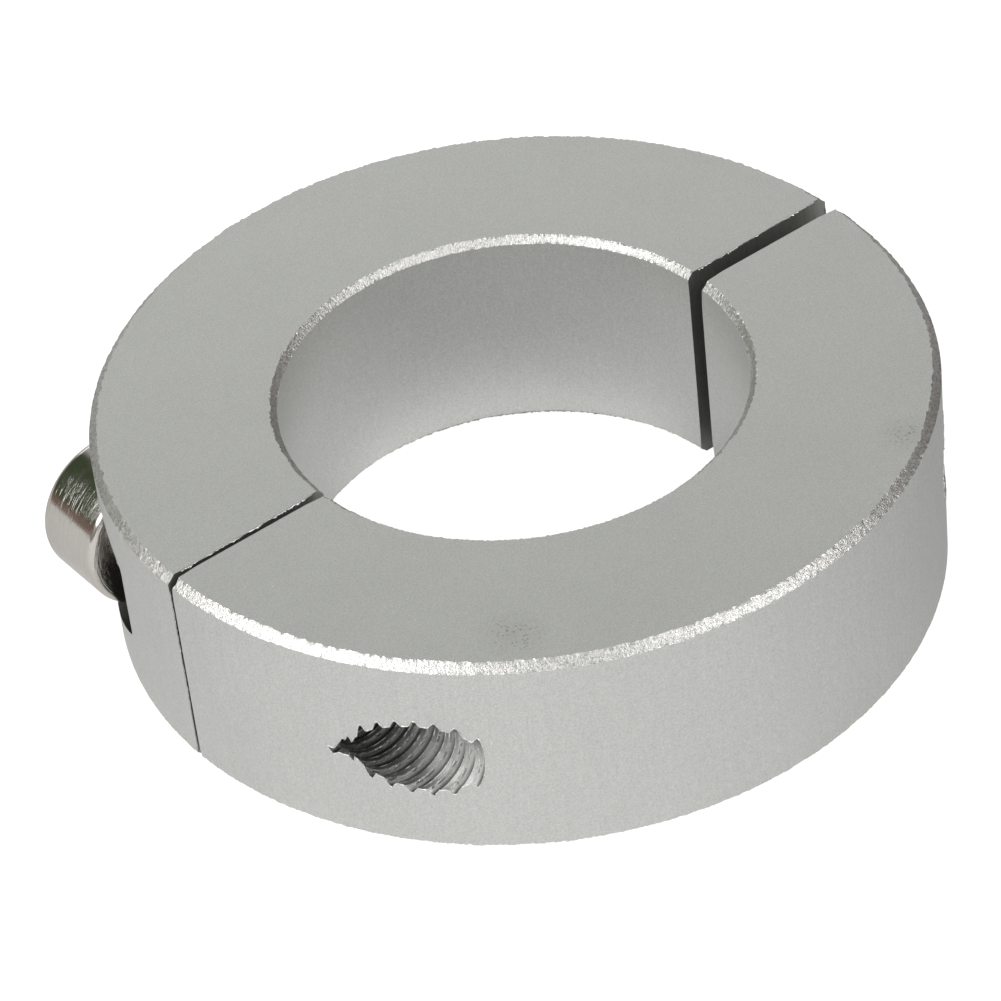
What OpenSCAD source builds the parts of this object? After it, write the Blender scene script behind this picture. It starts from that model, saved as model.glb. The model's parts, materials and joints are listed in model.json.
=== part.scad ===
// Two-piece split clamp shaft collar with two socket head cap screws.
// +Z is the bore axis and the origin is the centre of the bore, halfway through the width.
// The split runs along X and the screws run along Y, with their heads towards +Y.

/* [Collar] */
// Bore diameter, the shaft size
bore_d = 30; // [29:0.1:31]
// Outside diameter
outside_d = 54; // [53:0.1:56]
// Width along the shaft
width = 15; // [14:0.1:18]
// Chamfer on the outside edges
outside_chamfer = 0.55; // [0.3:0.05:1]
// Chamfer on the bore edges
bore_chamfer = 0.45; // [0.2:0.05:0.8]

/* [Split] */
// Distance from the bore axis to the tapped half's split face
tapped_face_y = 0.61; // [0.5:0.01:1.25]
// Distance from the bore axis to the counterbored half's split face
counterbored_face_y = 0.26; // [0.25:0.01:1.25]
// Angle that the counterbored half is turned about the bore axis, wider gap at +X
skew = 1.3; // [0:0.1:1.3]

/* [Screw holes] */
// Distance of each screw from the bore axis
screw_x = 21; // [20.8:0.1:21.2]
// Diameter of the clearance holes
clearance_d = 6.6; // [6.4:0.1:7]
// Diameter of the counterbores
counterbore_d = 11; // [10.9:0.1:11.4]
// Distance from the bore axis to the counterbore floors
seat_y = 8; // [7:0.1:9]

/* [Cap screws] */
// Nominal thread diameter
thread_d = 6; // [5.8:0.1:6]
// Thread pitch
pitch = 1; // [0.8:0.05:1]
// Length under the head
screw_l = 20; // [16:1:20]
// Head diameter
head_d = 9.9; // [9.8:0.05:10]
// Head height
head_h = 5.8; // [5.7:0.1:6]
// Hexagon socket size across flats
socket_af = 5; // [4:0.5:5]
// Hexagon socket depth
socket_depth = 3.3; // [3:0.1:3.5]
// How far the left screw is backed off from its seat
left_backed_off = 3.75; // [0:0.05:4]

/* [Hidden] */
$fn = 96;
eps = 0.01;
bore_r = bore_d / 2;
outside_r = outside_d / 2;
thread_r = thread_d / 2;
head_r = head_d / 2;
// Threads are plain cylinders at the pitch diameter, with a small clearance on each side
pitch_r = thread_r - 0.3248 * pitch;
thread_clearance = 0.025;
tap_mouth_chamfer = 0.5;
tip_chamfer = 0.6;
head_edge_r = 0.8;
head_edge_steps = 6;
washer_face_chamfer = 0.45;
socket_bevel = 0.3;
socket_drill_angle = 59;
// A seated head touches its tilted seat at one edge, so its centre stands off by this much
seat_tilt_gap = head_r * sin(skew) + eps;

// Height along Y of a seated head's underside on the screw axis at x
function seated_head_y(x) = (seat_y + x * sin(skew)) / cos(skew) + seat_tilt_gap;

// Ring with chamfered edges, before it is split
module ring() {
    rotate_extrude($fn = 180)
        polygon([
            [bore_r, -width / 2 + bore_chamfer],
            [bore_r + bore_chamfer, -width / 2],
            [outside_r - outside_chamfer, -width / 2],
            [outside_r, -width / 2 + outside_chamfer],
            [outside_r, width / 2 - outside_chamfer],
            [outside_r - outside_chamfer, width / 2],
            [bore_r + bore_chamfer, width / 2],
            [bore_r, width / 2 - bore_chamfer]
        ]);
}

// The part of space on one side of a plane across Y, at least as large as half the ring
module side_of_split(y) {
    translate([-outside_d, y, -width])
        cube([2 * outside_d, outside_d, 2 * width]);
}

// A cylinder along +Y
module y_cylinder(r, from_y, to_y) {
    translate([0, from_y, 0])
        rotate([-90, 0, 0])
            cylinder(r = r, h = to_y - from_y);
}

// Threaded hole from the split face out through the outside, with a chamfered mouth
module tapped_hole() {
    y_cylinder(pitch_r + thread_clearance, -outside_d, 0);
    translate([0, -tapped_face_y + eps, 0])
        rotate([90, 0, 0])
            cylinder(r1 = pitch_r + tap_mouth_chamfer + eps, r2 = pitch_r, h = tap_mouth_chamfer + eps);
}

// Clearance hole with a flat-bottomed counterbore that opens through the outside
module screw_recess() {
    y_cylinder(clearance_d / 2, 0, outside_d);
    y_cylinder(counterbore_d / 2, seat_y, outside_d);
}

module tapped_half() {
    color("lightgray")
        difference() {
            ring();
            side_of_split(-tapped_face_y);
            for (side = [-1, 1])
                translate([side * screw_x, 0, 0])
                    tapped_hole();
        }
}

module counterbored_half() {
    color("lightgray")
        rotate([0, 0, skew])
            difference() {
                ring();
                mirror([0, 1, 0])
                    side_of_split(-counterbored_face_y);
                for (side = [-1, 1])
                    translate([side * screw_x, 0, 0])
                        screw_recess();
            }
}

// Socket head cap screw with its head on +Y and the underside of the head at y = 0
module cap_screw() {
    shank_r = pitch_r - thread_clearance;
    head_edge = [
        for (i = [0 : head_edge_steps])
            let (a = 90 * i / head_edge_steps)
                [head_r - head_edge_r + head_edge_r * cos(a), head_h - head_edge_r + head_edge_r * sin(a)]
    ];
    color("gainsboro")
        rotate([-90, 0, 0])
            difference() {
                rotate_extrude()
                    polygon(concat(
                        [
                            [0, -screw_l],
                            [shank_r - tip_chamfer, -screw_l],
                            [shank_r, -screw_l + tip_chamfer],
                            [shank_r, 0],
                            [head_r - washer_face_chamfer, 0],
                            [head_r, washer_face_chamfer]
                        ],
                        head_edge,
                        [[0, head_h]]
                    ));
                hex_socket();
            }
}

// Hexagon socket with a bevelled mouth and a drilled cone at its floor
module hex_socket() {
    corner_r = socket_af / 2 / cos(30);
    translate([0, 0, head_h - socket_depth])
        cylinder(r = corner_r, h = socket_depth + 1, $fn = 6);
    translate([0, 0, head_h - socket_bevel])
        cylinder(r1 = corner_r - socket_bevel, r2 = corner_r + eps, h = socket_bevel + eps);
    drill_r = socket_af / 2 - 0.1;
    drill_h = drill_r / tan(socket_drill_angle);
    translate([0, 0, head_h - socket_depth - drill_h + eps])
        cylinder(r1 = 0, r2 = drill_r, h = drill_h);
}

module left_cap_screw() {
    translate([-screw_x, seated_head_y(-screw_x) + left_backed_off, 0])
        cap_screw();
}

module right_cap_screw() {
    translate([screw_x, seated_head_y(screw_x), 0])
        cap_screw();
}

tapped_half();
counterbored_half();
left_cap_screw();
right_cap_screw();
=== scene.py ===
"""Looks of a two-piece split clamp shaft collar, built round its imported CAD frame.

Lengths are in millimetres until a mesh is made, and the frame is the CAD's: +Z is the bore axis,
X runs along the split and the screws lie along Y with their heads towards +Y.
"""

import json
import math

import bmesh
import bpy
import numpy as np
from mathutils import Matrix, Vector


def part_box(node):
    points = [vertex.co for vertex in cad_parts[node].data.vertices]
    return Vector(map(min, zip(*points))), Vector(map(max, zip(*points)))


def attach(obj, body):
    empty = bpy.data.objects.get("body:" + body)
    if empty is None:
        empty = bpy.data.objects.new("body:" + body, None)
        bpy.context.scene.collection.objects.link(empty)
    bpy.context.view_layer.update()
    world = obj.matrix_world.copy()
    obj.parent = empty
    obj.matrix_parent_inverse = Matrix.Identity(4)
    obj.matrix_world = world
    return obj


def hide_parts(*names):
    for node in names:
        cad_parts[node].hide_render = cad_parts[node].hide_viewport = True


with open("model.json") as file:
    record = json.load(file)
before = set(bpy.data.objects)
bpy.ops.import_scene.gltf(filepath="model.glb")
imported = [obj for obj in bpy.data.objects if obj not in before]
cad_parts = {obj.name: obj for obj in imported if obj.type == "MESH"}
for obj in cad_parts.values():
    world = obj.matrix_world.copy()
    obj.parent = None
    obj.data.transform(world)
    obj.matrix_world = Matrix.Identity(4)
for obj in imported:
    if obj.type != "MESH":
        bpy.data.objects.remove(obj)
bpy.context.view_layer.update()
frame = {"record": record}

MM = 0.001


# ---------------------------------------------------------------- sizes

def corners_mm(node):
    """Lowest and highest corner of a CAD node, in millimetres."""
    low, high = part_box(node)
    return low / MM, high / MM


front_low, front_high = corners_mm("tapped_half")
bore_mount = next(m for m in frame["record"]["mounts"] if m["name"] == "shaft_bore")

BORE_R = bore_mount["dims"]["r_mm"]
OUTSIDE_R = -front_low.y
HALF_WIDTH = front_high.z
OUTSIDE_CHAMFER = 0.55
BORE_CHAMFER = 0.45
TAPPED_FACE_Y = -front_high.y
COUNTERBORED_FACE_Y = 0.26
SKEW = math.radians(1.3)

SCREW_X = 21.0
CLEARANCE_R = 3.3
COUNTERBORE_R = 5.5
SEAT_Y = 8.0

PITCH = 1.0
THREAD_R = 3.0
SCREW_THREAD_DEPTH = 0.541 * PITCH
TAPPED_THREAD_DEPTH = 0.42 * PITCH
THREAD_GAP = 0.04
# Where the root of each tapped thread crosses the +X side of its hole, as a share of the pitch
THREAD_PHASE = {-1: 0.55, 1: 0.2}

# How far each chamfer's edges stray on the flat faces and on the round walls, and its own roughness
FACE_STRAY = 0.14
WALL_STRAY = 0.09
CHAMFER_ROUGHNESS = 0.009
# The split face's corners are rounded off within this distance of a chamfer
CORNER_REACH = 1.4
CORNER_SOFTNESS = 0.02
# The flat inner part of a split face, as a share of its breadth and of its height
FLAT_BREADTH = 0.84
FLAT_HEIGHT = 0.88

# Outline (x, z) of the thin wall torn out beside the left tapped hole's mouth
TEAR = [
    (-24.36, -0.32), (-24.14, -0.42), (-23.82, 0.66), (-23.6, 0.36), (-23.3, -0.1),
    (-23.3, -1.0), (-23.56, -0.66), (-23.77, -0.74), (-24.0, -0.68), (-24.2, -0.92),
]
TEAR_DEPTH = 0.8
# The tapped threads are shallower over this stretch, where they would break through the outside wall
SHALLOW_FROM_Y = -13.3
SHALLOW_LENGTH = 1.6
SHALLOW_BY = 0.2
TAP_MOUTH_R = 3.35

HEAD_R = 4.93
HEAD_H = 5.8
HEAD_EDGE_R = 0.8
WASHER_FACE_CHAMFER = 0.45
SOCKET_AF = 5.0
SOCKET_DEPTH = 3.3
SOCKET_BEVEL = 0.3
SHANK_R = 2.9
HEAD_FILLET = 0.25
THREAD_RUN_OUT = 1.6

# Sections of the ring's mesh along each half
SECTIONS = 900

# Places in the list of materials that every aluminium mesh carries
FACE, WALL, BORE, EDGE, SAWN, THREAD, RECESS = range(7)

rng = np.random.default_rng(581)


# ---------------------------------------------------------------- meshes

class Shell:
    """Points, faces and each face's place in the list of materials."""

    def __init__(self):
        self.points = np.zeros((0, 3))
        self.faces = []
        self.kinds = []

    def add(self, points, faces, kinds):
        offset = len(self.points)
        self.points = np.vstack([self.points, points])
        self.faces += [tuple(i + offset for i in f) for f in faces]
        self.kinds += list(kinds)
        return self


def wander(count, step):
    """Smooth random values from -1 to 1, with a new one about every step places."""
    knots = max(4, int(round(count / step)))
    values = rng.uniform(-1, 1, knots + 3)
    at = np.linspace(0, knots, count, endpoint=False)
    i = at.astype(int)
    f = at - i
    blend = f * f * (3 - 2 * f)
    return values[i] * (1 - blend) + values[i + 1] * blend


def as_object(name, shell, materials):
    """A Blender mesh object of a shell, with its faces turned outwards."""
    mesh = bpy.data.meshes.new(name)
    mesh.from_pydata((shell.points * MM).tolist(), [], shell.faces)
    mesh.polygons.foreach_set("material_index", shell.kinds)
    for material in materials:
        mesh.materials.append(material)
    bm = bmesh.new()
    bm.from_mesh(mesh)
    bmesh.ops.recalc_face_normals(bm, faces=bm.faces)
    if bm.calc_volume(signed=True) < 0:
        bmesh.ops.reverse_faces(bm, faces=bm.faces)
    bm.to_mesh(mesh)
    bm.free()
    obj = bpy.data.objects.new(name, mesh)
    bpy.context.scene.collection.objects.link(obj)
    return obj


def combine(obj, tool, operation):
    """Cuts a tool out of an object or joins it on, and deletes the tool."""
    modifier = obj.modifiers.new(operation.lower(), "BOOLEAN")
    modifier.operation = operation
    modifier.solver = "MANIFOLD"
    modifier.object = tool
    bpy.context.view_layer.update()
    graph = bpy.context.evaluated_depsgraph_get()
    made = bpy.data.meshes.new_from_object(obj.evaluated_get(graph))
    obj.modifiers.clear()
    old = obj.data
    made.name = old.name + "_made"
    obj.data = made
    bpy.data.meshes.remove(old)
    bpy.data.objects.remove(tool)


def finish_mesh(obj, sharp_degrees=26):
    """Removes slivers and shades the mesh smooth between its sharp edges."""
    bm = bmesh.new()
    bm.from_mesh(obj.data)
    bmesh.ops.remove_doubles(bm, verts=bm.verts, dist=0.0005 * MM)
    bmesh.ops.dissolve_degenerate(bm, edges=bm.edges, dist=0.0005 * MM)
    for face in bm.faces:
        face.smooth = True
    for edge in bm.edges:
        if len(edge.link_faces) == 2:
            a, b = edge.link_faces
            edge.smooth = edge.calc_face_angle(0) < math.radians(sharp_degrees)
    bm.to_mesh(obj.data)
    bm.free()


def grid_faces(rows, columns, closed):
    """Quads of a grid of points whose columns may close into a loop."""
    last = columns if closed else columns - 1
    return [
        (i * columns + j, i * columns + (j + 1) % columns,
         (i + 1) * columns + (j + 1) % columns, (i + 1) * columns + j)
        for i in range(rows - 1)
        for j in range(last)
    ]


# ---------------------------------------------------------------- halves of the ring

def ring_profile(wall_rows):
    """Closed outline of the ring's section, as (r, z, kind of the face that follows)."""
    outer_side = HALF_WIDTH - OUTSIDE_CHAMFER
    inner_side = HALF_WIDTH - BORE_CHAMFER
    outer_top = OUTSIDE_R - OUTSIDE_CHAMFER
    inner_top = BORE_R + BORE_CHAMFER
    stretches = [
        (OUTSIDE_R, -outer_side, wall_rows, WALL),
        (OUTSIDE_R, outer_side, 5, EDGE),
        (outer_top, HALF_WIDTH, 8, FACE),
        (inner_top, HALF_WIDTH, 5, EDGE),
        (BORE_R, inner_side, 10, BORE),
        (BORE_R, -inner_side, 5, EDGE),
        (inner_top, -HALF_WIDTH, 8, FACE),
        (outer_top, -HALF_WIDTH, 5, EDGE),
    ]
    outline = []
    for place, (r, z, steps, kind) in enumerate(stretches):
        next_r, next_z = stretches[(place + 1) % len(stretches)][:2]
        for share in np.linspace(0, 1, steps, endpoint=False):
            outline.append((r + (next_r - r) * share, z + (next_z - z) * share, kind))
    return outline


def ragged():
    """How far a chamfer's edge strays round the ring, from -1 to 1: notches on longer waves."""
    return 0.4 * wander(SECTIONS, 3) + 0.45 * wander(SECTIONS, 1.2) + 0.15 * wander(SECTIONS, 30)


def corner_setback(r, z, most):
    """How far the split face's outline stands back from the split, most where it meets a chamfer."""
    outer = np.hypot(
        r - (OUTSIDE_R - OUTSIDE_CHAMFER / 2), abs(z) - (HALF_WIDTH - OUTSIDE_CHAMFER / 2)
    )
    inner = np.hypot(
        r - (BORE_R + BORE_CHAMFER / 2), abs(z) - (HALF_WIDTH - BORE_CHAMFER / 2)
    )
    near = np.clip(1 - np.minimum(outer, inner) / CORNER_REACH, 0, 1)
    return CORNER_SOFTNESS + most * near * near


def half_ring(side, face_y, wall_rows, setback):
    """Half of the ring with ragged chamfers, its split face at face_y on the +Y or the -Y side."""
    outline = ring_profile(wall_rows)
    count = len(outline)
    r = np.tile([p[0] for p in outline], (SECTIONS, 1)).astype(float)
    z = np.tile([p[1] for p in outline], (SECTIONS, 1)).astype(float)
    kinds = [p[2] for p in outline]
    for i in range(count):
        before, after = kinds[i - 1], kinds[i]
        if before == EDGE and after == EDGE:
            rough = rng.uniform(-1, 1, SECTIONS) * 0.6 + wander(SECTIONS, 2) * 0.4
            inwards = 1 if r[0, i] < (BORE_R + OUTSIDE_R) / 2 else -1
            r[:, i] += inwards * CHAMFER_ROUGHNESS * (rough + 1)
            z[:, i] -= math.copysign(CHAMFER_ROUGHNESS, z[0, i]) * (rough + 1)
        elif EDGE in (before, after):
            stray = ragged()
            if abs(z[0, i]) > HALF_WIDTH - 0.001:
                r[:, i] += FACE_STRAY * stray
            else:
                z[:, i] += WALL_STRAY * stray
    start = np.arcsin((face_y + corner_setback(r, z, setback)) / r)
    share = np.linspace(0, 1, SECTIONS)[:, None]
    angle = start + share * (math.pi - 2 * start)
    points = np.stack([r * np.cos(angle), side * r * np.sin(angle), z], axis=-1).reshape(-1, 3)
    faces = grid_faces(SECTIONS, count, closed=True)
    shell = Shell().add(points, faces, kinds * (SECTIONS - 1))
    # Each split face is a flat inner outline, joined to the set-back rim of the end section
    middle_r = (BORE_R + OUTSIDE_R) / 2
    flat_r = middle_r + (r[0] - middle_r) * FLAT_BREADTH
    flat_z = z[0] * FLAT_HEIGHT
    flat_x = np.sqrt(flat_r ** 2 - face_y ** 2)
    for end, row in ((1, 0), (-1, SECTIONS - 1)):
        flat = np.stack([end * flat_x, np.full(count, side * face_y), flat_z], axis=-1)
        offset = len(shell.points)
        shell.add(flat, [], [])
        for i in range(count):
            j = (i + 1) % count
            shell.faces.append((row * count + i, row * count + j, offset + j, offset + i))
        shell.faces.append(tuple(range(offset, offset + count)))
        shell.kinds += [SAWN] * (count + 1)
    return shell


def turned_solid(outline, steps, kinds):
    """Solid of revolution about Y from an outline of (radius, y) that starts and ends on the axis."""
    inner = outline[1:-1]
    angle = np.linspace(0, 2 * math.pi, steps, endpoint=False)
    points = [
        (r * math.cos(a), y, r * math.sin(a)) for r, y in inner for a in angle
    ]
    faces = grid_faces(len(inner), steps, closed=True)
    face_kinds = [k for k in kinds[1:-1] for _ in range(steps)]
    first = len(points)
    points += [(0, outline[0][1], 0), (0, outline[-1][1], 0)]
    last_row = (len(inner) - 1) * steps
    for j in range(steps):
        k = (j + 1) % steps
        faces.append((first, k, j))
        faces.append((first + 1, last_row + j, last_row + k))
    face_kinds += [kinds[0], kinds[-1]] * steps
    return Shell().add(np.array(points, float), faces, face_kinds)


def thread_rod(crest_r, depth, crest_flat, start_y, turns, phase, limit, kind, steps=72):
    """Rod along Y with a right-hand 60 degree thread.

    Its crest crosses the +X side at phase times the pitch, and limit(y, r) gives the radius that
    the rod really has where the thread would give r.
    """
    flank = depth * math.tan(math.radians(30))
    root_flat = PITCH - crest_flat - 2 * flank
    stations = [
        (-crest_flat / 2, 0), (crest_flat / 2, 0),
        (crest_flat / 2 + flank * 0.5, 0.5),
        (crest_flat / 2 + flank, 1), (crest_flat / 2 + flank + root_flat, 1),
        (crest_flat / 2 + flank * 1.5 + root_flat, 0.5),
    ]
    per_turn = len(stations)
    first = math.ceil(start_y / PITCH - phase) + phase
    rows = []
    for turn in range(turns):
        for offset, sunk in stations:
            rows.append(((first + turn) * PITCH + offset, crest_r - depth * sunk))
    points = []
    for y0, r0 in rows:
        for i in range(steps):
            a = 2 * math.pi * i / steps
            y = y0 - PITCH * i / steps
            r = limit(y, r0)
            points.append((r * math.cos(a), y, r * math.sin(a)))
    faces = []
    count = len(rows)
    for k in range(count - 1):
        for i in range(steps - 1):
            low = k * steps + i
            faces.append((low, low + 1, low + steps + 1, low + steps))
    # Past a full turn each row goes on as the row one pitch lower
    for k in range(per_turn, count - 1):
        end = k * steps + steps - 1
        low = (k - per_turn) * steps
        faces.append((end, low, low + steps, end + steps))
    low_loop = [k * steps + steps - 1 for k in range(per_turn, 0, -1)]
    low_loop += reversed(range(steps))
    high_row = count - 1
    high_loop = [high_row * steps + i for i in range(steps)]
    high_loop += [k * steps for k in range(high_row - per_turn, high_row)]
    points.append((0, rows[0][0] - PITCH, 0))
    points.append((0, rows[-1][0], 0))
    low_tip, high_tip = len(points) - 2, len(points) - 1
    for loop, tip in ((low_loop, low_tip), (high_loop, high_tip)):
        for a, b in zip(loop, loop[1:] + loop[:1]):
            faces.append((a, b, tip))
    return Shell().add(np.array(points, float), faces, [kind] * len(faces))


def moved(shell, x):
    """Moves a shell along X and gives it back."""
    shell.points = shell.points + np.array([x, 0.0, 0.0])
    return shell


def bead(path, radii, kind, sides=6):
    """Closed tube of varying radius along a path, for a burr."""
    path = np.asarray(path, float)
    tangent = np.gradient(path, axis=0)
    tangent /= np.linalg.norm(tangent, axis=1)[:, None] + 1e-12
    # No burr runs along this direction
    guide = np.array([0.13, 0.29, 0.95])
    across = np.cross(tangent, guide)
    across /= np.linalg.norm(across, axis=1)[:, None]
    up = np.cross(across, tangent)
    angle = np.linspace(0, 2 * math.pi, sides, endpoint=False)
    sideways = np.cos(angle)[None, :, None] * across[:, None, :]
    upwards = np.sin(angle)[None, :, None] * up[:, None, :]
    rings = path[:, None, :] + radii[:, None, None] * (sideways + upwards)
    points = rings.reshape(-1, 3)
    faces = grid_faces(len(path), sides, closed=True)
    faces.append(tuple(range(sides)))
    faces.append(tuple((len(path) - 1) * sides + i for i in range(sides)))
    return Shell().add(points, faces, [kind] * len(faces))


# ---------------------------------------------------------------- pieces of geometry

def rim_path(obj, kind_a, kind_b, centre_x):
    """The longest chain of edges between two kinds of face near x = centre_x, in millimetres."""
    bm = bmesh.new()
    bm.from_mesh(obj.data)
    links = {}
    for edge in bm.edges:
        if {f.material_index for f in edge.link_faces} == {kind_a, kind_b}:
            a, b = edge.verts
            if abs(a.co.x / MM - centre_x) < THREAD_R + 1:
                links.setdefault(a.index, []).append(b.index)
                links.setdefault(b.index, []).append(a.index)
    places = {v.index: tuple(v.co / MM) for v in bm.verts}
    bm.free()
    chains, seen = [], set()
    for start in sorted(links):
        if start in seen:
            continue
        chain, at = [start], start
        seen.add(start)
        while True:
            onward = [n for n in links[at] if n not in seen]
            if not onward:
                break
            at = onward[0]
            seen.add(at)
            chain.append(at)
        chains.append(chain)
    longest = max(chains, key=len)
    return np.array([places[i] for i in longest])


def evenly(path, spacing):
    """A path's points again, spaced evenly along it."""
    steps = np.linalg.norm(np.diff(path, axis=0), axis=1)
    along = np.concatenate([[0], np.cumsum(steps)])
    at = np.arange(0, along[-1], spacing)
    return np.stack([np.interp(at, along, path[:, k]) for k in range(3)], axis=1)


def tap_cutter(side):
    """Solid of a tapped hole's inside, from beyond the outside wall to beyond the split."""
    def limit(y, r):
        """Keeps the threads off the outside wall where the wall slants away from the hole."""
        if SHALLOW_FROM_Y < y < SHALLOW_FROM_Y + SHALLOW_LENGTH:
            return min(r, THREAD_R - SHALLOW_BY)
        return r

    start_y, turns = -24.0, 26
    rod = thread_rod(
        THREAD_R, TAPPED_THREAD_DEPTH, PITCH / 8, start_y, turns, THREAD_PHASE[side], limit, THREAD,
    )
    return moved(rod, side * SCREW_X)


def tear_cutter():
    """Shallow ragged prism for the torn wall beside the left hole's mouth."""
    angle = np.array([math.atan2(-math.sqrt(OUTSIDE_R ** 2 - x * x), x) for x, _ in TEAR])
    height = np.array([z for _, z in TEAR])
    middle_angle, middle_height = angle.mean(), height.mean()
    rings = []
    for r, shrink in ((OUTSIDE_R + 0.3, 1.0), (OUTSIDE_R, 1.0), (OUTSIDE_R - TEAR_DEPTH, 0.8)):
        a = middle_angle + (angle - middle_angle) * shrink
        z = middle_height + (height - middle_height) * shrink
        rings.append(np.stack([r * np.cos(a), r * np.sin(a), z], axis=-1))
    count = len(TEAR)
    faces = grid_faces(3, count, closed=True)
    faces += [tuple(range(count)), tuple(range(2 * count, 3 * count))]
    return Shell().add(np.vstack(rings), faces, [THREAD] * len(faces))


def mouth_cutter(side):
    """Cone that chamfers a tapped hole's mouth on the split face."""
    outline = [
        (0, -1.7), (2.4, -1.7), (TAP_MOUTH_R, -TAPPED_FACE_Y), (TAP_MOUTH_R, 0.2), (0, 0.2),
    ]
    return moved(turned_solid(outline, 96, [THREAD] * 5), side * SCREW_X)


def screw_recess(side):
    """Solid of a clearance hole and its counterbore."""
    outline = [
        (0, -1), (CLEARANCE_R, -1), (CLEARANCE_R, SEAT_Y - 0.15), (CLEARANCE_R + 0.15, SEAT_Y),
        (COUNTERBORE_R - 0.1, SEAT_Y), (COUNTERBORE_R, SEAT_Y + 0.1), (COUNTERBORE_R, 30), (0, 30),
    ]
    return moved(turned_solid(outline, 144, [RECESS] * 8), side * SCREW_X)


def build_tapped_half(materials):
    """Front half, with its tapped holes, the torn wall beside the left one and burrs round both."""
    shell = half_ring(-1, TAPPED_FACE_Y, wall_rows=26, setback=0.2)
    half = as_object("front_half_with_tapped_holes", shell, materials)
    for side in (-1, 1):
        combine(half, as_object("tap", tap_cutter(side), materials), "DIFFERENCE")
        combine(half, as_object("mouth", mouth_cutter(side), materials), "DIFFERENCE")
    combine(half, as_object("tear", tear_cutter(), materials), "DIFFERENCE")
    for side in (-1, 1):
        rim = evenly(rim_path(half, WALL, THREAD, side * SCREW_X), 0.05)
        radii = 0.03 + 0.05 * np.abs(wander(len(rim), 5)) * np.abs(wander(len(rim), 2))
        radii += 0.05 * np.clip(wander(len(rim), 6) - 0.6, 0, 1)
        combine(half, as_object("burr", bead(rim, radii, EDGE), materials), "UNION")
    finish_mesh(half)
    return half


def split_burr(start, end, largest, inwards):
    """Broken row of tiny burrs from start to end, kept behind the edge by their own radius."""
    line = evenly(np.array([start, end], float), 0.06)
    size = np.abs(wander(len(line), 2.5))
    size *= np.clip(wander(len(line), 12) + 0.6, 0.1, 1)
    radii = 0.012 + largest * size
    return bead(line + radii[:, None] * np.array(inwards, float), radii, EDGE)


def build_counterbored_half(materials):
    """Rear half, with its counterbored holes and burrs along its split edges, turned by the skew."""
    shell = half_ring(1, COUNTERBORED_FACE_Y, wall_rows=12, setback=0.06)
    half = as_object("rear_half_with_counterbores", shell, materials)
    for side in (-1, 1):
        combine(half, as_object("recess", screw_recess(side), materials), "DIFFERENCE")
    for side in (-1, 1):
        inner = (side * (BORE_R + 0.9), COUNTERBORED_FACE_Y, HALF_WIDTH - 0.003)
        outer = (side * (OUTSIDE_R - 1.0), COUNTERBORED_FACE_Y, HALF_WIDTH - 0.003)
        burr = split_burr(inner, outer, 0.09, (0, -0.2, -1))
        combine(half, as_object("burr", burr, materials), "UNION")
        low = (side * (OUTSIDE_R - 0.01), COUNTERBORED_FACE_Y, -HALF_WIDTH + 1)
        high = (side * (OUTSIDE_R - 0.01), COUNTERBORED_FACE_Y, HALF_WIDTH - 1)
        burr = split_burr(low, high, 0.035, (-side, -0.2, 0))
        combine(half, as_object("burr", burr, materials), "UNION")
    finish_mesh(half)
    half.data.transform(Matrix.Rotation(SKEW, 4, "Z"))
    return half


def arc(centre, radius, start, end, steps):
    """Points of an arc as (r, y), angles in degrees from +r towards +y."""
    r, y = centre
    return [
        (r + radius * math.cos(math.radians(a)), y + radius * math.sin(math.radians(a)))
        for a in np.linspace(start, end, steps)
    ]


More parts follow.
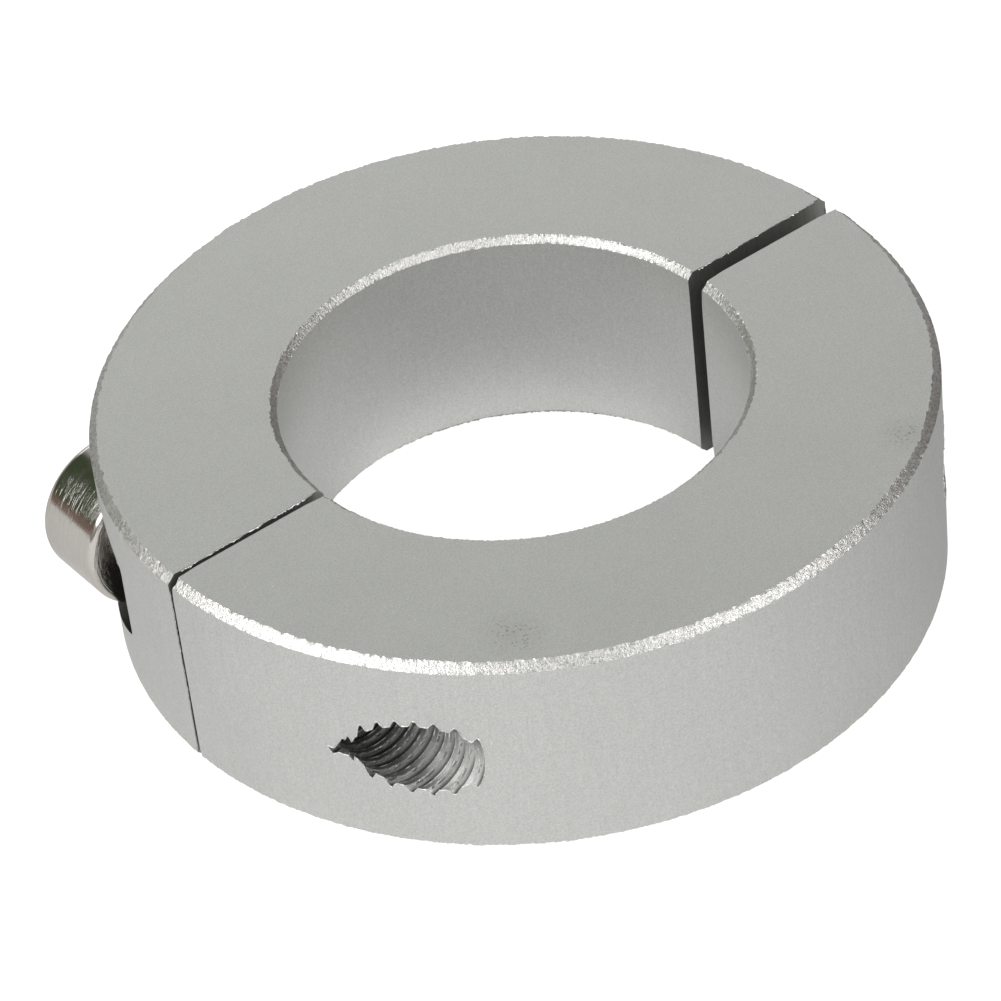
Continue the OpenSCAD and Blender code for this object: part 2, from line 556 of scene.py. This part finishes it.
def build_cap_screw(name, node, side, material):
    """Socket head cap screw in its CAD node's place, with a real thread that fits its tapped hole."""
    x = side * SCREW_X

    def turned(name, outline, steps):
        """Object turned about the screw's axis."""
        return as_object(name, moved(turned_solid(outline, steps, [0] * len(outline)), x), [material])

    low, high = corners_mm(node)
    seat = high.y - HEAD_H
    tip = low.y
    top = seat + HEAD_H
    run_out_y = seat - THREAD_RUN_OUT
    run_out_r = 2.3
    outline = [(0, run_out_y), (run_out_r, run_out_y), (run_out_r, seat - 1.2)]
    outline += [(SHANK_R, seat - 0.8), (SHANK_R, seat - HEAD_FILLET)]
    outline += arc((SHANK_R + HEAD_FILLET, seat - HEAD_FILLET), HEAD_FILLET, 180, 90, 5)[1:]
    outline += [(HEAD_R - WASHER_FACE_CHAMFER, seat)]
    outline += arc((HEAD_R - 0.35, seat + 0.45), 0.35, -50, 0, 6)
    outline += arc((HEAD_R - HEAD_EDGE_R, seat + HEAD_H - HEAD_EDGE_R), HEAD_EDGE_R, 0, 90, 14)
    outline += [(0, top)]
    screw = turned(name, outline, 160)

    def limit(y, r):
        """Keeps the thread inside its chamfered tip and runs it out below the head."""
        cone = 2.2 + (y - tip) * 0.9
        run_out = run_out_r + (y - run_out_y)
        return min(max(r, min(run_out, SHANK_R)), max(cone, 0.02))

    crest_r, crest_flat = THREAD_R - THREAD_GAP, 0.079
    turns = int(seat - tip) + 2
    rod = thread_rod(
        crest_r, SCREW_THREAD_DEPTH, crest_flat, tip - 3, turns, THREAD_PHASE[side], limit, 0, steps=96,
    )
    rod = as_object("rod", moved(rod, x), [material])
    trim = [(0, tip - 8), (8, tip - 8), (8, tip), (0, tip)]
    combine(rod, turned("trim", trim, 32), "DIFFERENCE")
    combine(screw, rod, "UNION")

    corner = SOCKET_AF / 2 / math.cos(math.radians(30))
    floor = top - SOCKET_DEPTH
    hexagon = [(0, floor), (corner, floor), (corner, top + 1), (0, top + 1)]
    combine(screw, turned("hex", hexagon, 6), "DIFFERENCE")
    bevel = [
        (0, top - SOCKET_BEVEL), (corner - SOCKET_BEVEL, top - SOCKET_BEVEL),
        (corner + 0.05, top + 0.05), (corner + 0.05, top + 0.5), (0, top + 0.5),
    ]
    combine(screw, turned("bevel", bevel, 96), "DIFFERENCE")
    drill = [(0, floor - 1.4), (2.4, floor + 0.02), (2.4, floor + 0.1), (0, floor + 0.1)]
    combine(screw, turned("drill", drill, 64), "DIFFERENCE")
    finish_mesh(screw, 30)
    return screw


# ---------------------------------------------------------------- materials

class Nodes:
    """Short calls for building a tree of shader nodes."""

    def __init__(self, tree):
        self.tree = tree

    def add(self, kind, **settings):
        node = self.tree.nodes.new("ShaderNode" + kind)
        for key, value in settings.items():
            setattr(node, key, value)
        return node

    def feed(self, socket, value):
        if isinstance(value, bpy.types.NodeSocket):
            self.tree.links.new(value, socket)
        else:
            socket.default_value = value

    def maths(self, operation, a, b=0.0):
        node = self.add("Math", operation=operation)
        for socket, value in zip(node.inputs, (a, b)):
            self.feed(socket, value)
        return node.outputs[0]

    def plus(self, *values):
        total = values[0]
        for value in values[1:]:
            total = self.maths("ADD", total, value)
        return total

    def times(self, a, b):
        return self.maths("MULTIPLY", a, b)

    def millimetres(self):
        node = self.add("VectorMath", operation="SCALE")
        self.feed(node.inputs[0], self.add("TexCoord").outputs["Object"])
        node.inputs["Scale"].default_value = 1 / MM
        return node.outputs[0]

    def stretched(self, vector, scale):
        node = self.add("VectorMath", operation="MULTIPLY")
        self.feed(node.inputs[0], vector)
        node.inputs[1].default_value = scale
        return node.outputs[0]

    def dot(self, vector, towards):
        node = self.add("VectorMath", operation="DOT_PRODUCT")
        self.feed(node.inputs[0], vector)
        node.inputs[1].default_value = towards
        return node.outputs["Value"]

    def distance(self, vector, place):
        node = self.add("VectorMath", operation="DISTANCE")
        self.feed(node.inputs[0], vector)
        node.inputs[1].default_value = place
        return node.outputs["Value"]

    def split(self, vector):
        node = self.add("SeparateXYZ")
        self.feed(node.inputs[0], vector)
        return node.outputs

    def joined(self, x, y, z):
        node = self.add("CombineXYZ")
        for socket, value in zip(node.inputs, (x, y, z)):
            self.feed(socket, value)
        return node.outputs[0]

    def noise(self, vector, scale, detail=2.0, roughness=0.5):
        node = self.add("TexNoise")
        self.feed(node.inputs["Vector"], vector)
        node.inputs["Scale"].default_value = scale
        node.inputs["Detail"].default_value = detail
        node.inputs["Roughness"].default_value = roughness
        return node.outputs["Fac"]

    def specks(self, vector, scale, radius, share):
        """1 in small round specks, in a share of the cells of size 1 / scale, and 0 elsewhere."""
        node = self.add("TexVoronoi")
        self.feed(node.inputs["Vector"], vector)
        node.inputs["Scale"].default_value = scale
        near = self.spread(node.outputs["Distance"], radius * scale, radius * scale * 0.4, 0, 1)
        picked = self.maths("GREATER_THAN", self.split(node.outputs["Color"])[0], 1 - share)
        return self.times(near, picked)

    def spread(self, value, low, high, to_low, to_high):
        node = self.add("MapRange")
        for socket, v in zip(node.inputs, (value, low, high, to_low, to_high)):
            self.feed(socket, v)
        return node.outputs[0]

    def blend(self, factor, a, b):
        node = self.add("Mix", data_type="RGBA")
        self.feed(node.inputs[0], factor)
        self.feed(node.inputs[6], a)
        self.feed(node.inputs[7], b)
        return node.outputs[2]

    def shaded(self, colour, factor):
        """A colour multiplied by a number."""
        node = self.add("VectorMath", operation="SCALE")
        self.feed(node.inputs[0], colour)
        self.feed(node.inputs["Scale"], factor)
        return node.outputs[0]

    def bump(self, height, distance_mm, normal=None):
        node = self.add("Bump")
        self.feed(node.inputs["Height"], height)
        node.inputs["Distance"].default_value = distance_mm * MM
        if normal is not None:
            self.feed(node.inputs["Normal"], normal)
        return node.outputs[0]


class MetalNodes(Nodes):
    """Nodes of a new metal's material."""

    def __init__(self, name):
        self.material = bpy.data.materials.new(name)
        self.material.use_nodes = True
        super().__init__(self.material.node_tree)

    def finish(self, colour, roughness, normal):
        shader = self.tree.nodes["Principled BSDF"]
        self.feed(shader.inputs["Base Color"], colour)
        self.feed(shader.inputs["Roughness"], roughness)
        self.feed(shader.inputs["Normal"], normal)
        shader.inputs["Metallic"].default_value = 1.0
        return self.material


def around(nodes, vector):
    """Distance round the ring at the outside, distance from the axis and height, in millimetres."""
    x, y, z = nodes.split(vector)
    angle = nodes.maths("ARCTAN2", y, x)
    radius = nodes.maths("SQRT", nodes.plus(nodes.times(x, x), nodes.times(y, y)))
    return nodes.times(angle, OUTSIDE_R), radius, z


def blasted(name, streak=0.0, smudges=()):
    """Fine bead-blasted and anodised aluminium: grain, slow clouds, specks and speckled smudges."""
    roughness, grain = 0.5, 0.13
    n = MetalNodes(name)
    at = n.millimetres()
    fine = n.noise(at, 8.0, 2.0, 0.6)
    coarse = n.noise(at, 2.6, 3.0, 0.6)
    cloud = n.noise(at, 0.16, 2.0, 0.5)
    bright = n.specks(at, 1.5, 0.06, 0.25)
    dark = n.specks(n.stretched(at, (1.0, -1.0, 1.0)), 1.1, 0.05, 0.12)
    shade = n.plus(
        n.spread(fine, 0.25, 0.75, 1 - grain, 1 + grain),
        n.spread(coarse, 0.3, 0.7, -grain * 0.25, grain * 0.25),
        n.spread(cloud, 0.3, 0.7, -0.012, 0.012),
        n.times(bright, 0.2),
        n.times(dark, -0.2),
    )
    if streak:
        s, r, z = around(n, at)
        upright = n.joined(n.times(s, 4.0), n.times(r, 0.2), n.times(z, 0.2))
        lines = n.noise(upright, 1.0, 2.0, 0.6)
        shade = n.plus(shade, n.spread(lines, 0.3, 0.7, -streak, streak))
    for place, radius in smudges:
        here = n.spread(n.distance(at, place), 0, radius, 1, 0)
        dots = n.specks(at, 4.5, 0.09, 0.55)
        dirt = n.plus(n.times(here, 0.08), n.times(n.times(here, dots), 0.55))
        shade = n.maths("SUBTRACT", shade, dirt)
    rough = n.spread(coarse, 0.2, 0.8, roughness - 0.03, roughness + 0.03)
    return n.finish(n.shaded(ALUMINIUM, shade), rough, n.bump(fine, 0.008))


def torn_cut(name, colour, roughness, contrast):
    """Bright turned chamfer whose surface the tool tore into fine slanting flecks."""
    n = MetalNodes(name)
    at = n.millimetres()
    s, r, z = around(n, at)
    slanted = n.joined(
        n.plus(n.times(s, 8.0), n.times(z, 5.0)),
        n.plus(n.times(z, 4.0), n.times(s, -3.0)),
        n.times(r, 5.0),
    )
    flecks = n.noise(slanted, 1.0, 3.0, 0.7)
    grain = n.noise(at, 12.0, 2.0, 0.7)
    shade = n.plus(
        n.spread(flecks, 0.36, 0.58, 1 - contrast, 1.05),
        n.spread(grain, 0.3, 0.7, -0.1, 0.1),
    )
    normal = n.bump(flecks, 0.03)
    normal = n.bump(grain, 0.02, normal)
    return n.finish(n.shaded(colour, shade), roughness, normal)


def cut_metal(name, colour, roughness, stretch, depth):
    """Machined aluminium with tool lines; stretch sets their run and spacing on X, Y and Z."""
    contrast = 0.1
    n = MetalNodes(name)
    at = n.millimetres()
    lines = n.noise(n.stretched(at, stretch), 1.0, 3.0, 0.65)
    grain = n.noise(at, 9.0, 2.0, 0.65)
    shade = n.plus(
        n.spread(lines, 0.3, 0.7, 1 - contrast, 1 + contrast * 0.5),
        n.spread(grain, 0.3, 0.7, -contrast * 0.6, contrast * 0.6),
    )
    normal = n.bump(lines, depth)
    normal = n.bump(grain, 0.012, normal)
    rough = n.spread(grain, 0.3, 0.7, roughness - 0.04, roughness + 0.05)
    return n.finish(n.shaded(colour, shade), rough, normal)


def beside_screws(nodes, vector):
    """Angle round the nearer screw's axis, distance from it, place along Y, and 1 on the +X side."""
    x, y, z = nodes.split(vector)
    right = nodes.maths("GREATER_THAN", x, 0.0)
    across = nodes.maths("SUBTRACT", x, nodes.spread(right, 0, 1, -SCREW_X, SCREW_X))
    angle = nodes.maths("ARCTAN2", z, across)
    radius = nodes.maths("SQRT", nodes.plus(nodes.times(across, across), nodes.times(z, z)))
    return angle, radius, y, right


def tapped(name, colour, roughness):
    """Roughly tapped thread: fine lines, painted shade further in, at the top and in the roots, painted
    glints on torn crests.
    """
    n = MetalNodes(name)
    at = n.millimetres()
    height = n.split(at)[2]
    angle, radius, y, right = beside_screws(n, at)
    turned = n.plus(y, n.times(angle, PITCH / (2 * math.pi)))
    helical = n.joined(n.times(angle, 1.4), n.times(turned, 24.0), n.times(radius, 14.0))
    lines = n.noise(helical, 1.0, 3.0, 0.65)
    grain = n.noise(at, 9.0, 2.0, 0.65)
    phase = n.spread(right, 0, 1, THREAD_PHASE[-1], THREAD_PHASE[1])
    along = n.maths("FRACT", n.plus(turned, n.times(phase, -1.0), 8.0))
    from_crest = n.maths("ABSOLUTE", n.maths("SUBTRACT", along, 0.5))
    half_crest = 0.5 - 1 / 16 - TAPPED_THREAD_DEPTH * math.tan(math.radians(30))
    from_edge = n.maths("ABSOLUTE", n.maths("SUBTRACT", from_crest, half_crest))
    edge = n.spread(from_edge, 0.03, 0.09, 1, 0)
    tears = n.noise(n.joined(n.times(angle, 6.0), n.times(y, 6.0), radius), 1.0, 2.0, 0.6)
    torn = n.spread(tears, 0.5, 0.56, 0, 1)
    # Painted glints: bright specks added to the colour along torn crest edges, stronger low in the hole,
    # with lower roughness and a bump
    painted_glint = n.times(n.times(edge, torn), n.spread(height, -1.0, 0.8, 1.4, 0.4))
    shade = n.plus(n.spread(lines, 0.3, 0.7, 0.72, 1.12), n.spread(grain, 0.3, 0.7, -0.12, 0.12))
    # Painted shade: the colour is darker further into the hole, on its upper wall and in the thread
    # roots
    painted_shade_in_and_up = n.times(n.spread(y, -18.5, -12.5, 1.0, 0.6), n.spread(height, -0.5, 1.8, 1.15, 0.32))
    painted_root_shade = n.spread(from_crest, 0.33, 0.43, 1.0, 0.35)
    shade = n.plus(n.times(n.times(shade, painted_shade_in_and_up), painted_root_shade), n.times(painted_glint, 1.0))
    normal = n.bump(lines, 0.03)
    normal = n.bump(grain, 0.015, normal)
    normal = n.bump(painted_glint, 0.06, normal)
    rough = n.spread(grain, 0.3, 0.7, roughness - 0.04, roughness + 0.05)
    rough = n.maths("SUBTRACT", rough, n.times(painted_glint, 0.12))
    return n.finish(n.shaded(colour, shade), rough, normal)


def nickel(name, colour):
    """Nickel plate on turned steel: faint lathe lines, short scratches round it and dull scuffs."""
    n = MetalNodes(name)
    at = n.millimetres()
    angle, radius, y, _ = beside_screws(n, at)
    lathe = n.noise(n.joined(n.times(angle, 0.8), n.times(y, 6.0), 0.0), 1.0, 3.0, 0.65)
    rings = n.noise(n.joined(n.times(angle, 1.2), n.times(radius, 6.0), 0.0), 1.0, 3.0, 0.7)
    sway = n.noise(at, 0.4, 2.0, 0.5)
    grain = n.noise(at, 9.0, 2.0, 0.6)
    slanting = n.joined(n.times(angle, 3.0), n.plus(n.times(y, 17.0), n.times(angle, 6.0)), 0.0)
    cuts = n.spread(n.noise(slanting, 1.0, 2.0, 0.6), 0.59, 0.74, 0, 1)
    patch = n.spread(n.noise(at, 0.5, 3.0, 0.6), 0.47, 0.66, 0, 0.9)
    cuts = n.times(cuts, patch)
    scuff = n.spread(n.noise(at, 1.1, 3.0, 0.65), 0.48, 0.7, 0, 1)
    rough = n.plus(n.spread(scuff, 0, 1, 0.14, 0.21), n.times(cuts, 0.35))
    shade = n.plus(
        n.spread(sway, 0.3, 0.7, 0.96, 1.02),
        n.spread(grain, 0.3, 0.7, -0.05, 0.05),
        n.spread(lathe, 0.3, 0.7, -0.05, 0.03),
        n.times(cuts, -0.08),
    )
    normal = n.bump(sway, 0.03)
    normal = n.bump(lathe, 0.01, normal)
    normal = n.bump(rings, 0.03, normal)
    normal = n.bump(cuts, -0.012, normal)
    return n.finish(n.shaded(colour, shade), rough, normal)


ALUMINIUM = (0.605, 0.61, 0.59)
# Centre and radius of each smudge of dirt on the top face
SMUDGES = [((-14.9, -19.0, HALF_WIDTH), 2.4), ((14.4, -21.5, HALF_WIDTH), 2.2)]
aluminium = [
    blasted("blasted_face", smudges=SMUDGES),
    blasted("blasted_outside_wall", streak=0.015),
    blasted("blasted_bore", streak=0.015),
    torn_cut("turned_chamfer", (0.8, 0.79, 0.765), 0.34, 0.42),
    cut_metal("sawn_split_face", (0.4, 0.4, 0.38), 0.5, (6.0, 1.0, 0.6), 0.02),
    tapped("tapped_thread", (0.74, 0.74, 0.72), 0.45),
    # The counterbore's darker colour is painted shade for the deep recess
    cut_metal("counterbored_recess", (0.4, 0.4, 0.38), 0.4, (1.0, 5.0, 1.0), 0.01),
]
nickel_plate = nickel("nickel_plate", (0.66, 0.625, 0.585))


# ---------------------------------------------------------------- the four pieces

pieces = [
    (build_tapped_half(aluminium), "tapped_half", "anodised_aluminium"),
    (build_counterbored_half(aluminium), "counterbored_half", "anodised_aluminium"),
    (build_cap_screw("left_socket_head_cap_screw", "left_cap_screw", -1, nickel_plate),
     "left_cap_screw", "nickel_plated_steel"),
    (build_cap_screw("right_socket_head_cap_screw", "right_cap_screw", 1, nickel_plate),
     "right_cap_screw", "nickel_plated_steel"),
]
for piece, node, finish_slot in pieces:
    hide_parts(node)
    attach(piece, node)


# ---------------------------------------------------------------- stage, light and camera

def direction(azimuth, elevation):
    """Unit vector from the origin; azimuth 0 is towards -Y and 90 towards +X, in degrees."""
    a, e = math.radians(azimuth), math.radians(elevation)
    return Vector((math.sin(a) * math.cos(e), -math.cos(a) * math.cos(e), math.sin(e)))


def pale_floor():
    """Large round floor, white to the camera.

    The light it throws on the collar is greyer, strongest from the front left and weakest from the
    rear right, apart from an extra patch inside the bore at its rear.
    """
    material = bpy.data.materials.new("pale_floor")
    material.use_nodes = True
    n = Nodes(material.node_tree)
    at = n.add("TexCoord").outputs["Object"]
    outwards = n.add("VectorMath", operation="NORMALIZE")
    n.feed(outwards.inputs[0], at)
    thrown = n.spread(n.dot(outwards.outputs[0], direction(-46, 0)), -1, 1, 0.04, 0.67)
    in_bore = n.spread(n.distance(at, (0, 0, 0)), 0.95 * BORE_R * MM, 1.05 * BORE_R * MM, 1, 0)
    rearwards = n.dot(at, direction(148, 0))
    thrown = n.plus(thrown, n.times(in_bore, n.spread(rearwards, 4.5 * MM, 12 * MM, 0, 0.74)))
    seen = n.add("LightPath").outputs["Is Camera Ray"]
    shader = material.node_tree.nodes["Principled BSDF"]
    n.feed(shader.inputs["Base Color"], (0.3, 0.3, 0.3, 1))
    n.feed(shader.inputs["Roughness"], 0.9)
    n.feed(shader.inputs["Emission Color"], (1, 1, 1, 1))
    n.feed(shader.inputs["Emission Strength"], n.spread(seen, 0, 1, thrown, 0.92))
    bm = bmesh.new()
    bmesh.ops.create_circle(bm, cap_ends=True, radius=1.6, segments=96)
    mesh = bpy.data.meshes.new("floor")
    bm.to_mesh(mesh)
    bm.free()
    mesh.materials.append(material)
    floor = bpy.data.objects.new("floor", mesh)
    floor.location.z = (-HALF_WIDTH - 0.02) * MM
    bpy.context.scene.collection.objects.link(floor)


def softbox(name, azimuth, elevation, width, height, radiance, distance=0.9):
    """Area light that looks at the origin."""
    light = bpy.data.lights.new(name, "AREA")
    light.shape = "RECTANGLE"
    light.size, light.size_y = width, height
    light.energy = 4 * width * height * radiance
    obj = bpy.data.objects.new(name, light)
    back = direction(azimuth, elevation)
    obj.location = back * distance
    obj.rotation_mode = "QUATERNION"
    obj.rotation_quaternion = (-back).to_track_quat("-Z", "Y")
    bpy.context.scene.collection.objects.link(obj)


def studio_world():
    """Soft grey studio: brighter in front, darker between the softboxes and on the right, brown low
    on the left with a dark green window above.
    """
    world = bpy.data.worlds.new("studio")
    bpy.context.scene.world = world
    world.use_nodes = True
    n = Nodes(world.node_tree)
    at = n.add("TexCoord").outputs["Generated"]
    height = n.split(at)[2]
    ramp = n.add("ValToRGB")
    n.feed(ramp.inputs[0], height)
    stops = ramp.color_ramp.elements
    stops[0].position, stops[0].color = 0.0, (0.22, 0.212, 0.2, 1)
    stops[1].position, stops[1].color = 1.0, (0.68, 0.69, 0.68, 1)
    middle = stops.new(0.5)
    middle.color = (0.475, 0.48, 0.465, 1)
    colour = ramp.outputs[0]
    # Azimuth and elevation of each patch, the cosines at its edge and its core, its strength, its colour
    patches = [
        (0, 8, 0.7, 0.96, 0.8, (0.95, 0.95, 0.94, 1)),
        (-14, 52, 0.86, 0.96, 0.85, (0.15, 0.15, 0.14, 1)),
        (95, 8, 0.6, 0.92, 0.9, (0.1, 0.085, 0.075, 1)),
        (-138, 7, 0.84, 0.95, 0.95, (0.2, 0.14, 0.115, 1)),
        (-150, 34, 0.86, 0.91, 1, (0.055, 0.075, 0.042, 1)),
    ]
    for azimuth, elevation, edge, core, strength, patch_colour in patches:
        patch = n.spread(n.dot(at, direction(azimuth, elevation)), edge, core, 0, strength)
        colour = n.blend(patch, colour, patch_colour)
    n.feed(world.node_tree.nodes["Background"].inputs["Color"], colour)


def camera():
    """Long lens above the front left, tipped a little, with the collar off the middle as framed."""
    azimuth, elevation, roll = -33.84, 39.68, math.radians(6.65)
    distance, right_shift, up_shift = 296.1, 1.414, 1.812
    back = direction(azimuth, elevation)
    right = direction(azimuth + 90, 0)
    up = back.cross(right)
    tipped_right = right * math.cos(roll) - up * math.sin(roll)
    tipped_up = right * math.sin(roll) + up * math.cos(roll)
    data = bpy.data.cameras.new("camera")
    data.lens = 165.87
    data.sensor_width = 36
    data.clip_start, data.clip_end = 0.01, 20
    obj = bpy.data.objects.new("camera", data)
    rotation = Matrix((tipped_right, tipped_up, back)).transposed().to_4x4()
    place = (back * distance - tipped_right * right_shift - tipped_up * up_shift) * MM
    obj.matrix_world = Matrix.Translation(place) @ rotation
    bpy.context.scene.collection.objects.link(obj)
    bpy.context.scene.camera = obj


pale_floor()
studio_world()
softbox("left_softbox", -96, 38, 1.02, 0.48, 2.5)
softbox("right_softbox", 24, 44, 0.35, 0.32, 3.7)
softbox("rear_softbox", 150, 20, 0.9, 0.3, 0.9)
camera()
bpy.context.scene.view_settings.view_transform = "Standard"
